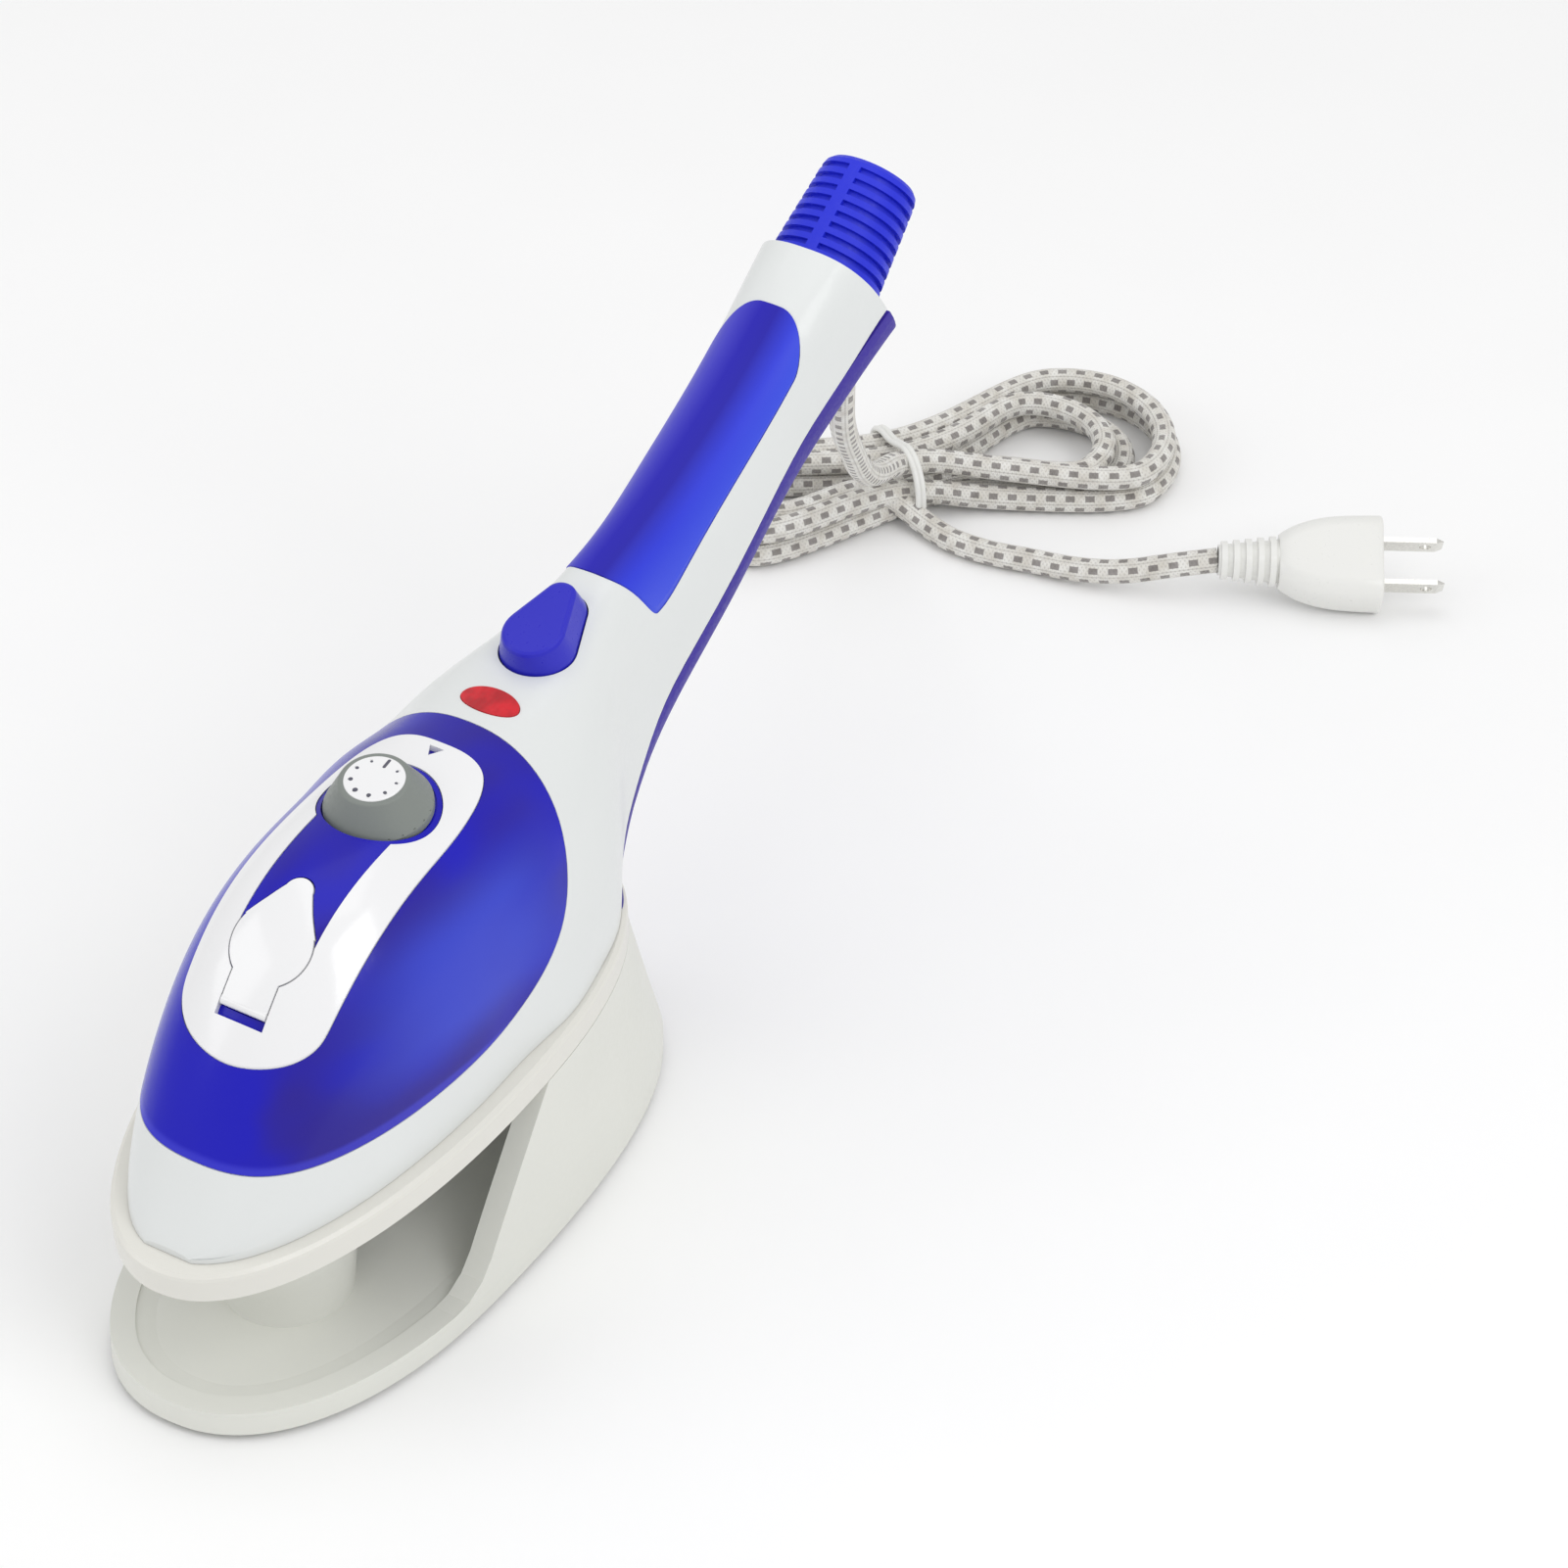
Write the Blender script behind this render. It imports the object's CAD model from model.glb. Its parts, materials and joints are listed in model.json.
"""Looks of the handheld garment steamer, its rest and its tied mains lead."""

import json
import math

import bmesh
import bpy
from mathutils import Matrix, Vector


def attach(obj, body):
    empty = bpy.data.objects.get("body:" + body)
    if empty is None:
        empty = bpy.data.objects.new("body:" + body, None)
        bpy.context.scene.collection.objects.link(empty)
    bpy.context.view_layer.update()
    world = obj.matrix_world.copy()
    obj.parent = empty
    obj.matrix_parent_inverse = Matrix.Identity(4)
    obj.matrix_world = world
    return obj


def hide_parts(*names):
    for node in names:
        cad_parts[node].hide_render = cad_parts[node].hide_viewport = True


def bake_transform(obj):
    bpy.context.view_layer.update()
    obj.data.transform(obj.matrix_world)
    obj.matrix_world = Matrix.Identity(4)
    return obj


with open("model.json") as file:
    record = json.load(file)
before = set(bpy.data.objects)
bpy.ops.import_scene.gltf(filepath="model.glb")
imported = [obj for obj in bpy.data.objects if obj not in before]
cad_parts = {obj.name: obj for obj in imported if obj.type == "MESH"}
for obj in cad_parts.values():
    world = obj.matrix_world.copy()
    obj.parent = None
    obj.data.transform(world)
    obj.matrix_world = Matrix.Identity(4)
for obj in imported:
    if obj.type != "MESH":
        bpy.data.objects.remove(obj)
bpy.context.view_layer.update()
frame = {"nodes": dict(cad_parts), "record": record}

# ---------------------------------------------------------------- camera
SIDE = 0.521  # angles in radians
DOWN = 0.656
ROLL = 0.031
DISTANCE = 1.4828
TARGET = Vector((0.11423, -0.00335, 0.01277))
look = Vector((math.cos(DOWN) * math.cos(SIDE), math.cos(DOWN) * math.sin(SIDE), -math.sin(DOWN)))
right = Vector((math.sin(SIDE), -math.cos(SIDE), 0))
up = right.cross(look)
tilted_right = right * math.cos(ROLL) + up * math.sin(ROLL)
tilted_up = up * math.cos(ROLL) - right * math.sin(ROLL)
camera_data = bpy.data.cameras.new("camera")
camera_data.sensor_width = 36
camera_data.lens = 128.07
camera_data.clip_end = 20
camera = bpy.data.objects.new("camera", camera_data)
bpy.context.collection.objects.link(camera)
for row in range(3):
    camera.matrix_world[row][0] = tilted_right[row]
    camera.matrix_world[row][1] = tilted_up[row]
    camera.matrix_world[row][2] = -look[row]
    camera.matrix_world[row][3] = (TARGET - look * DISTANCE)[row]
bpy.context.scene.camera = camera


# ---------------------------------------------------------------- shader helpers
def new_material(
    name, roughness=0.35, coat=0.0, coat_roughness=0.1, metallic=0.0, sheen=0.0, transmission=0.0, specular=0.5
):
    material = bpy.data.materials.new(name)
    material.use_nodes = True
    nodes = material.node_tree.nodes
    shader = nodes["Principled BSDF"]
    shader.inputs["Roughness"].default_value = roughness
    shader.inputs["Coat Weight"].default_value = coat
    shader.inputs["Coat Roughness"].default_value = coat_roughness
    shader.inputs["Metallic"].default_value = metallic
    shader.inputs["Sheen Weight"].default_value = sheen
    shader.inputs["Transmission Weight"].default_value = transmission
    shader.inputs["Specular IOR Level"].default_value = specular
    return material


class Graph:
    """Short names for the shader nodes that the materials use."""

    def __init__(self, material):
        self.tree = material.node_tree
        self.shader = self.tree.nodes["Principled BSDF"]
        self.place = self.tree.nodes.new("ShaderNodeTexCoord")

    def link(self, source, target):
        self.tree.links.new(source, target)

    def put(self, socket, value):
        if isinstance(value, bpy.types.NodeSocket):
            self.link(value, socket)
        else:
            socket.default_value = value

    def math(self, operation, *values):
        node = self.tree.nodes.new("ShaderNodeMath")
        node.operation = operation
        for socket, value in zip(node.inputs, values):
            self.put(socket, value)
        return node.outputs[0]

    def split(self, vector):
        node = self.tree.nodes.new("ShaderNodeSeparateXYZ")
        self.link(vector, node.inputs[0])
        return node.outputs

    def noise(self, scale, detail=3.0, rough=0.5, stretch=None):
        node = self.tree.nodes.new("ShaderNodeTexNoise")
        node.inputs["Scale"].default_value = scale
        node.inputs["Detail"].default_value = detail
        node.inputs["Roughness"].default_value = rough
        vector = self.place.outputs["Object"]
        if stretch:
            shape = self.tree.nodes.new("ShaderNodeMapping")
            shape.inputs["Scale"].default_value = stretch
            self.link(vector, shape.inputs["Vector"])
            vector = shape.outputs["Vector"]
        self.link(vector, node.inputs["Vector"])
        return node.outputs["Fac"]

    def ramp(self, value, stops):
        node = self.tree.nodes.new("ShaderNodeValToRGB")
        self.link(value, node.inputs["Fac"])
        while len(node.color_ramp.elements) < len(stops):
            node.color_ramp.elements.new(0.5)
        for element, (at, colour) in zip(node.color_ramp.elements, stops):
            element.position = at
            element.color = (*colour, 1)
        return node.outputs["Color"]

    def span(self, value, low, high, to_low=0.0, to_high=1.0, smooth=True):
        node = self.tree.nodes.new("ShaderNodeMapRange")
        node.interpolation_type = "SMOOTHSTEP" if smooth else "LINEAR"
        self.link(value, node.inputs["Value"])
        node.inputs["From Min"].default_value = low
        node.inputs["From Max"].default_value = high
        node.inputs["To Min"].default_value = to_low
        node.inputs["To Max"].default_value = to_high
        return node.outputs["Result"]

    def mix(self, factor, first, second):
        node = self.tree.nodes.new("ShaderNodeMix")
        node.data_type = "RGBA"
        self.put(node.inputs["Factor"], factor)
        self.put(node.inputs["A"], first if isinstance(first, bpy.types.NodeSocket) else (*first, 1))
        self.put(node.inputs["B"], second if isinstance(second, bpy.types.NodeSocket) else (*second, 1))
        return node.outputs["Result"]

    def colour(self, value):
        self.link(value, self.shader.inputs["Base Color"])

    def rough(self, value, low, high):
        self.link(self.span(value, 0.3, 0.7, low, high), self.shader.inputs["Roughness"])

    def bump(self, height, strength, distance):
        node = self.tree.nodes.new("ShaderNodeBump")
        node.inputs["Strength"].default_value = strength
        node.inputs["Distance"].default_value = distance
        self.link(height, node.inputs["Height"])
        self.link(node.outputs["Normal"], self.shader.inputs["Normal"])


def tone(colour, by):
    return tuple(min(1.0, channel * by) for channel in colour)


def moulded(name, colour, roughness=0.35, coat=0.2, grain=900.0, depth=0.00004, spread=0.05, **more):
    """Moulded plastic: slow colour drift, fine spark texture and uneven gloss."""
    material = new_material(name, roughness, coat, **more)
    graph = Graph(material)
    drift = graph.noise(14.0, 2.0)
    graph.colour(graph.ramp(drift, [(0.3, tone(colour, 1 - spread)), (0.7, tone(colour, 1 + spread))]))
    fine = graph.noise(grain, 3.0, 0.6)
    graph.rough(fine, roughness * 0.85, roughness * 1.2)
    graph.bump(fine, 0.25, depth)
    return material


def metal(name, colour, roughness=0.3, stretch=(1, 30, 1), scale=60.0):
    material = new_material(name, roughness, metallic=1.0)
    graph = Graph(material)
    lines = graph.noise(scale, 4.0, 0.6, stretch)
    graph.colour(graph.ramp(lines, [(0.3, tone(colour, 0.86)), (0.7, tone(colour, 1.08))]))
    graph.rough(lines, roughness * 0.7, roughness * 1.35)
    graph.bump(lines, 0.2, 0.00004)
    return material


# ---------------------------------------------------------------- materials
shell = moulded("shell_silver", (0.735, 0.755, 0.75), 0.33, 0.25, spread=0.02)
cream = moulded("skirt_cream", (0.735, 0.725, 0.675), 0.38, 0.15, spread=0.02)
rest_white = moulded("stand_white", (0.735, 0.74, 0.69), 0.45, 0.05, grain=700.0, spread=0.025)
deep_blue = moulded("shell_blue", (0.045, 0.026, 0.32), 0.42, 0.0, spread=0.08, specular=0.15)
button_blue = moulded("button_blue", (0.020, 0.018, 0.50), 0.32, 0.1, spread=0.08, specular=0.3)
guard_blue = moulded("guard_blue", (0.016, 0.026, 0.62), 0.42, 0.0, grain=600.0, spread=0.1, specular=0.3)
panel_white = moulded("panel_white", (0.84, 0.84, 0.85), 0.18, 0.5, spread=0.012)
dial_grey = moulded("dial_grey", (0.205, 0.225, 0.21), 0.46, 0.0, grain=1200.0, depth=0.00006, spread=0.06)
seal = moulded("seal_rubber", (0.55, 0.16, 0.09), 0.5, 0.0, spread=0.1)
foot = moulded("foot_rubber", (0.28, 0.28, 0.27), 0.75, 0.0, grain=500.0, depth=0.0001, spread=0.1)
inner_black = moulded("inner_black", (0.02, 0.02, 0.022), 0.5, 0.05, spread=0.2)
inner_white = moulded("inner_white", (0.72, 0.70, 0.64), 0.5, 0.05, spread=0.05)
plug_white = moulded("plug_white", (0.80, 0.80, 0.77), 0.32, 0.2, spread=0.02)
alloy = metal("sole_alloy", (0.80, 0.81, 0.83), 0.22)
cast = metal("cast_alloy", (0.55, 0.56, 0.58), 0.5, (1, 1, 1), 240.0)
sheet = metal("sheet_steel", (0.62, 0.62, 0.62), 0.32)
wire = metal("spring_steel", (0.5, 0.5, 0.52), 0.28, (1, 1, 20))
screw = metal("screw_steel", (0.6, 0.6, 0.62), 0.3, (1, 1, 1), 300.0)
blade = metal("blade_brass", (0.80, 0.79, 0.75), 0.2, (20, 20, 1), 90.0)

# Tinted tank: lighter on the flanks where light comes through, dark at its edges and over its floor.
tank = new_material("tank_blue", 0.24, 0.12, 0.1, specular=0.2)
graph = Graph(tank)
x, y, z = graph.split(graph.place.outputs["Object"])
edge = graph.math("ADD", graph.math("MULTIPLY", x, 0.03), 0.0742)
above = graph.math("SUBTRACT", z, edge)
floor_band = graph.span(above, 0.0035, 0.016)
side = graph.span(graph.math("ABSOLUTE", y), 0.013, 0.030)
length = graph.math("MULTIPLY", graph.span(x, -0.135, -0.085), graph.span(x, -0.030, -0.062))
crown = graph.span(z, 0.1195, 0.104)
glow = graph.math("MULTIPLY", floor_band, side)
glow = graph.math("MULTIPLY", glow, graph.math("MULTIPLY", length, crown))
cloud = graph.noise(24.0, 2.0, 0.5, (0.7, 1.0, 1.6))
glow = graph.math("MULTIPLY", glow, graph.span(cloud, 0.30, 0.62, 0.55, 1.0))
body = graph.mix(graph.span(cloud, 0.42, 0.66), (0.009, 0.007, 0.46), (0.022, 0.012, 0.27))
body = graph.mix(glow, body, (0.038, 0.058, 0.56))
lip = graph.span(above, 0.0032, 0.0018)
graph.colour(graph.mix(graph.math("MULTIPLY", lip, 0.6), body, (0.05, 0.05, 0.62)))
graph.bump(graph.noise(500.0), 0.08, 0.00003)

# Soft-touch grip: satin, with lengthwise bands of tone.
grip = new_material("grip_blue", 0.42, specular=0.25)
graph = Graph(grip)
x, y, z = graph.split(graph.place.outputs["Object"])
band = graph.math("ADD", y, graph.math("MULTIPLY", graph.noise(9.0, 1.0), 0.002))
bands = graph.ramp(graph.span(band, -0.0125, 0.0125, 0.0, 1.0, False),
                   [(0.0, (0.05, 0.09, 0.74)), (0.22, (0.028, 0.045, 0.66)), (0.45, (0.014, 0.010, 0.38)),
                    (0.62, (0.016, 0.011, 0.42)), (0.85, (0.06, 0.055, 0.55)), (1.0, (0.08, 0.075, 0.58))])
graph.colour(bands)
graph.bump(graph.noise(1400.0, 2.0), 0.3, 0.00005)

# Lamp lens: clear red with a darker core.
lens = new_material("lamp_red", 0.16, 0.25, 0.05, transmission=0.1, specular=0.3)
graph = Graph(lens)
x, y, z = graph.split(graph.place.outputs["Object"])
core = graph.noise(260.0, 2.0)
graph.colour(graph.ramp(core, [(0.35, (0.42, 0.004, 0.012)), (0.65, (0.66, 0.008, 0.02))]))
graph.shader.inputs["Emission Color"].default_value = (0.9, 0.02, 0.03, 1)
graph.shader.inputs["Emission Strength"].default_value = 0.06
graph.bump(graph.math("SINE", graph.math("MULTIPLY", y, 3600.0)), 0.2, 0.00008)


DASH_ROWS = 6.0  # rows of dashes round the lead
DASH_PERIOD = 0.0056  # metres
BRAID_ALONG = 5200.0  # radians per metre
BRAID_ROUND = 75.4  # radians per turn


# Braided textile: dashes in rows round the lead, on a fine crossed braid.
# U is the length in metres, V goes round.
def textile(name):
    material = new_material(name, 0.85, sheen=0.3)
    graph = Graph(material)
    u, v, w = graph.split(graph.place.outputs["UV"])
    rows = graph.math("MULTIPLY", v, DASH_ROWS)
    row = graph.math("FLOOR", rows)
    inside = graph.math("ABSOLUTE", graph.math("SUBTRACT", graph.math("FRACT", rows), 0.5))
    wide = graph.span(inside, 0.27, 0.21)
    shift = graph.math("MULTIPLY", graph.math("MODULO", row, 2.0), 0.5)
    steps = graph.math("ADD", graph.math("DIVIDE", u, DASH_PERIOD), shift)
    along = graph.math("ABSOLUTE", graph.math("SUBTRACT", graph.math("FRACT", steps), 0.5))
    dash = graph.math("MULTIPLY", wide, graph.span(along, 0.26, 0.21))
    ridge = graph.span(inside, 0.42, 0.49)
    lengthwise = graph.math("MULTIPLY", u, BRAID_ALONG)
    round_it = graph.math("MULTIPLY", v, BRAID_ROUND)
    one = graph.math("SINE", graph.math("ADD", lengthwise, round_it))
    two = graph.math("SINE", graph.math("SUBTRACT", lengthwise, round_it))
    braid = graph.math("MAXIMUM", one, two)
    soft = graph.noise(220.0, 3.0)
    white = graph.ramp(soft, [(0.3, (0.66, 0.63, 0.57)), (0.65, (0.84, 0.83, 0.79))])
    white = graph.mix(graph.span(braid, 0.2, -0.8, 0.0, 0.35), white, (0.45, 0.42, 0.38))
    white = graph.mix(graph.math("MULTIPLY", ridge, 0.35), white, (0.42, 0.39, 0.36))
    fleck = graph.ramp(soft, [(0.3, (0.17, 0.155, 0.145)), (0.65, (0.27, 0.25, 0.24))])
    graph.colour(graph.mix(graph.math("MULTIPLY", dash, 0.9), white, fleck))
    graph.bump(graph.math("ADD", braid, graph.math("MULTIPLY", ridge, -1.5)), 0.5, 0.00025)
    return material


braid_material = textile("cord_textile")

by_slot = {
    "shell_silver": shell, "skirt_cream": cream, "stand_white": rest_white, "tank_blue": tank,
    "shell_blue": deep_blue, "grip_blue": grip, "button_blue": button_blue, "guard_blue": guard_blue,
    "panel_white": panel_white, "dial_grey": dial_grey, "lamp_red": lens, "sole_alloy": alloy,
    "cast_alloy": cast, "sheet_steel": sheet, "spring_steel": wire, "screw_steel": screw, "seal_rubber": seal,
    "foot_rubber": foot, "inner_black": inner_black, "inner_white": inner_white,
    "cord_textile": braid_material, "plug_white": plug_white, "blade_brass": blade,
}
slots = {part["node"]: part["material_slot"] for part in frame["record"]["subparts"]}
for node, obj in frame["nodes"].items():
    for slot in obj.material_slots:
        slot.material = by_slot[slots[node]]


# ---------------------------------------------------------------- the mains lead
def place(x, y, z):
    """A point of the lead's route: station from the nose, across and height, all in mm."""
    return ((x - 157.34) / 1000, y / 1000, z / 1000)


def on_hank(along, across, z):
    return place(421 + 0.7915 * along + 0.6112 * across, 48 - 0.6112 * along + 0.7915 * across, z)


DROP = [(301, 0, 140), (301.3, 0.2, 127.5), (304.6, 2, 114.5), (312.5, 6, 102), (325.5, 12, 87.5),
        (342.5, 19.3, 70.5), (361, 27.5, 52), (379.5, 34.6, 36), (396.5, 40.4, 24.8), (411.5, 45.0, 17.4)]
END = [(409.2, 32.8, 3.5), (405.3, 21.5, 3.5), (405.8, 9.0, 3.5), (409.2, -3.5, 3.6), (411.2, -16.5, 4.2),
       (414.6, -29.6, 6.4), (420.6, -41.2, 9.8), (427.3, -52.5, 12.0)]
# Each turn of the hank, in mm: offset at the waist, right loop's centre and radius, left loop's, height,
# sideways shift.
TURNS = [(10.9, 52, 29.5, -42, 21.0, 10.9, -2.0), (10.9, 54, 30.0, -43, 21.3, 3.7, -1.0),
         (3.7, 47, 22.6, -38, 14.2, 3.7, -1.5), (3.7, 42, 20.6, -36, 13.8, 10.9, -3.0)]

route = [place(*point) for point in DROP]
route += [on_hank(8, -5.5, 14.2), on_hank(22, -11, 12.0)]
for turn, (waist, right_x, right_r, left_x, left_r, height, shift) in enumerate(TURNS):
    for angle in (-78, -50, -22, 6, 34, 62, 90):
        rise = 0.35 * math.sin(math.radians(angle * 3 + 70 * turn))
        route.append(on_hank(right_x + right_r * math.cos(math.radians(angle)),
                             shift + right_r * math.sin(math.radians(angle)), height + rise))
    route += [on_hank(24, waist + 4.5, height), on_hank(7, waist, height), on_hank(-9, waist + 0.5, height)]
    for angle in (100, 132, 164, 196, 228, 260):
        route.append(on_hank(left_x + left_r * math.cos(math.radians(angle)),
                             left_r * math.sin(math.radians(angle)), height))
    if turn < 3:
        following = TURNS[turn + 1]
        between = (height + following[5]) / 2
        route += [on_hank(-10, -waist - 0.5, height), on_hank(6, -(waist + following[0]) / 2, between),
                  on_hank(22, -following[0] - 4.0, following[5])]
    else:
        route += [on_hank(-12, -waist - 3.0, height), on_hank(-5.0, -12.5, 7.5)]
route += [place(*point) for point in END]

line = bpy.data.curves.new("lead_line", "CURVE")
line.dimensions = "3D"
line.resolution_u = 8
spline = line.splines.new("NURBS")
spline.points.add(len(route) - 1)
for point, spot in zip(spline.points, route):
    point.co = (*spot, 1)
spline.order_u = 3
spline.use_endpoint_u = True
line_object = bpy.data.objects.new("lead_line", line)
read = bpy.data.meshes.new_from_object(line_object)
path = [vertex.co.copy() for vertex in read.vertices]
bpy.data.objects.remove(line_object)


def tube(name, points, radius, sides=20):
    """Mesh tube along points, with U the distance in metres and V the way round."""
    axes = []
    for i in range(len(points)):
        axes.append((points[min(i + 1, len(points) - 1)] - points[max(i - 1, 0)]).normalized())
    side = axes[0].orthogonal().normalized()
    vertices = []
    travelled = [0.0]
    for i, (point, axis) in enumerate(zip(points, axes)):
        side = (side - axis * side.dot(axis)).normalized()
        other = axis.cross(side)
        if i:
            travelled.append(travelled[-1] + (point - points[i - 1]).length)
        for step in range(sides):
            angle = 2 * math.pi * step / sides
            vertices.append(point + (side * math.cos(angle) + other * math.sin(angle)) * radius)
    faces = []
    spans = []
    for i in range(len(points) - 1):
        for step in range(sides):
            after = (step + 1) % sides
            first = i * sides
            second = first + sides
            faces.append((first + step, first + after, second + after, second + step))
            spans.append((i, step))
    faces.append(tuple(reversed(range(sides))))
    faces.append(tuple(range((len(points) - 1) * sides, len(points) * sides)))
    mesh = bpy.data.meshes.new(name)
    mesh.from_pydata(vertices, [], faces)
    layer = mesh.uv_layers.new(name="length")
    for polygon, (i, step) in zip(mesh.polygons, spans):
        corners = ((i, step), (i, step + 1), (i + 1, step + 1), (i + 1, step))
        for loop, (ring, around) in zip(polygon.loop_indices, corners):
            layer.data[loop].uv = (travelled[ring], around / sides)
    for polygon in mesh.polygons:
        polygon.use_smooth = True
    obj = bpy.data.objects.new(name, mesh)
    bpy.context.collection.objects.link(obj)
    return obj, travelled[-1]


LEAD_RADIUS = 0.0035
lead, lead_length = tube("lead", path, LEAD_RADIUS)
lead.data.materials.append(braid_material)
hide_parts("cord_drop", "cord_hank", "cord_tail")
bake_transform(lead)

# ---------------------------------------------------------------- the tie round the hank's waist
# Across the hank and up, in mm.
TIE_LOOP = [(-16.8, 2.2), (-18.2, 7.5), (-17.2, 14.0), (-12.5, 19.2), (-6.5, 20.6), (-1.5, 18.6), (4.5, 16.2),
            (11.5, 15.9), (16.4, 13.2), (17.4, 7.4), (16.0, 1.6), (8.0, 0.9), (-8.0, 0.9)]
tie_line = bpy.data.curves.new("tie_band", "CURVE")
tie_line.dimensions = "3D"
tie_line.resolution_u = 10
tie_line.bevel_depth = 0.0009
tie_line.bevel_resolution = 3
for shift in (-0.8, 0.7):
    strand = tie_line.splines.new("NURBS")
    strand.points.add(len(TIE_LOOP) - 1)
    for point, spot in zip(strand.points, TIE_LOOP):
        point.co = (*on_hank(shift, *spot), 1)
    strand.order_u = 3
    strand.use_cyclic_u = True
tie = bpy.data.objects.new("tie_band", tie_line)
bpy.context.collection.objects.link(tie)
tie.data.materials.append(plug_white)
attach(tie, "rest")
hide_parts("cord_tie")

# ---------------------------------------------------------------- printed marks on the dial's cap
DIAL_CENTRE = Vector((-0.06784, 0, 0.122109))
DIAL_AXIS = Vector((-0.165048, 0, 0.986286))
DIAL_ALONG = Vector((0.986286, 0, 0.165048))
CAP_TOP = 0.0102


def disc(builder, along, across, length, width, thickness=0.00006, sides=20):
    """A thin printed dash, round when its length and width are the same."""
    ring = []
    for level in (0, thickness):
        for step in range(sides):
            angle = 2 * math.pi * step / sides
            shift = (length - width) / 2 * (1 if math.cos(angle) >= 0 else -1)
            place_on = DIAL_CENTRE + DIAL_AXIS * (CAP_TOP - 0.00002 + level)
            place_on += DIAL_ALONG * (along + shift + width / 2 * math.cos(angle))
            place_on += Vector((0, 1, 0)) * (across + width / 2 * math.sin(angle))
            ring.append(builder.verts.new(place_on))
    builder.faces.new(list(reversed(ring[:sides])))
    builder.faces.new(ring[sides:])
    for step in range(sides):
        after = (step + 1) % sides
        builder.faces.new((ring[step], ring[after], ring[sides + after], ring[sides + step]))


builder = bmesh.new()
disc(builder, 0.0052, 0.0, 0.0030, 0.0008)
for angle, size in ((40, 0.0007), (80, 0.0009), (120, 0.0011), (160, 0.0013), (200, 0.0011),
                    (240, 0.0009), (280, 0.0007), (320, 0.0007)):
    turn = math.radians(angle)
    disc(builder, 0.0055 * math.cos(turn), 0.0055 * math.sin(turn), size, size)
marks_mesh = bpy.data.meshes.new("dial_marks")
builder.to_mesh(marks_mesh)
builder.free()
marks = bpy.data.objects.new("dial_marks", marks_mesh)
bpy.context.collection.objects.link(marks)
marks.data.materials.append(moulded("mark_ink", (0.09, 0.09, 0.12), 0.6, 0.0, spread=0.2))
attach(marks, "dial")

# ---------------------------------------------------------------- floor and light
floor_mesh = bpy.data.meshes.new("floor")
floor_mesh.from_pydata([(-6, -6, 0), (6, -6, 0), (6, 6, 0), (-6, 6, 0)], [], [(0, 1, 2, 3)])
floor = bpy.data.objects.new("floor", floor_mesh)
floor.location.z = -0.0005
bpy.context.collection.objects.link(floor)
floor.data.materials.append(moulded("floor_white", (0.955, 0.955, 0.955), 0.8, 0.0, spread=0.004))

world = bpy.data.worlds.new("studio")
bpy.context.scene.world = world
world.use_nodes = True
world.node_tree.nodes["Background"].inputs["Color"].default_value = (1, 1, 1, 1)
world.node_tree.nodes["Background"].inputs["Strength"].default_value = 0.74


def softbox(name, spot, target, size, power):
    data = bpy.data.lights.new(name, "AREA")
    data.shape = "RECTANGLE"
    data.size = size[0]
    data.size_y = size[1]
    data.energy = power
    obj = bpy.data.objects.new(name, data)
    bpy.context.collection.objects.link(obj)
    obj.location = spot
    obj.rotation_euler = (Vector(target) - Vector(spot)).to_track_quat("-Z", "Y").to_euler()


softbox("key", (-0.3, -1.1, 1.2), (0, 0, 0.08), (0.9, 0.9), 6)
softbox("fill", (-0.9, 1.0, 0.9), (0, 0, 0.08), (0.9, 0.7), 2.4)
softbox("top", (0.1, 0.1, 1.6), (0, 0, 0.05), (1.2, 1.2), 3.5)

bpy.context.scene.view_settings.view_transform = "Standard"
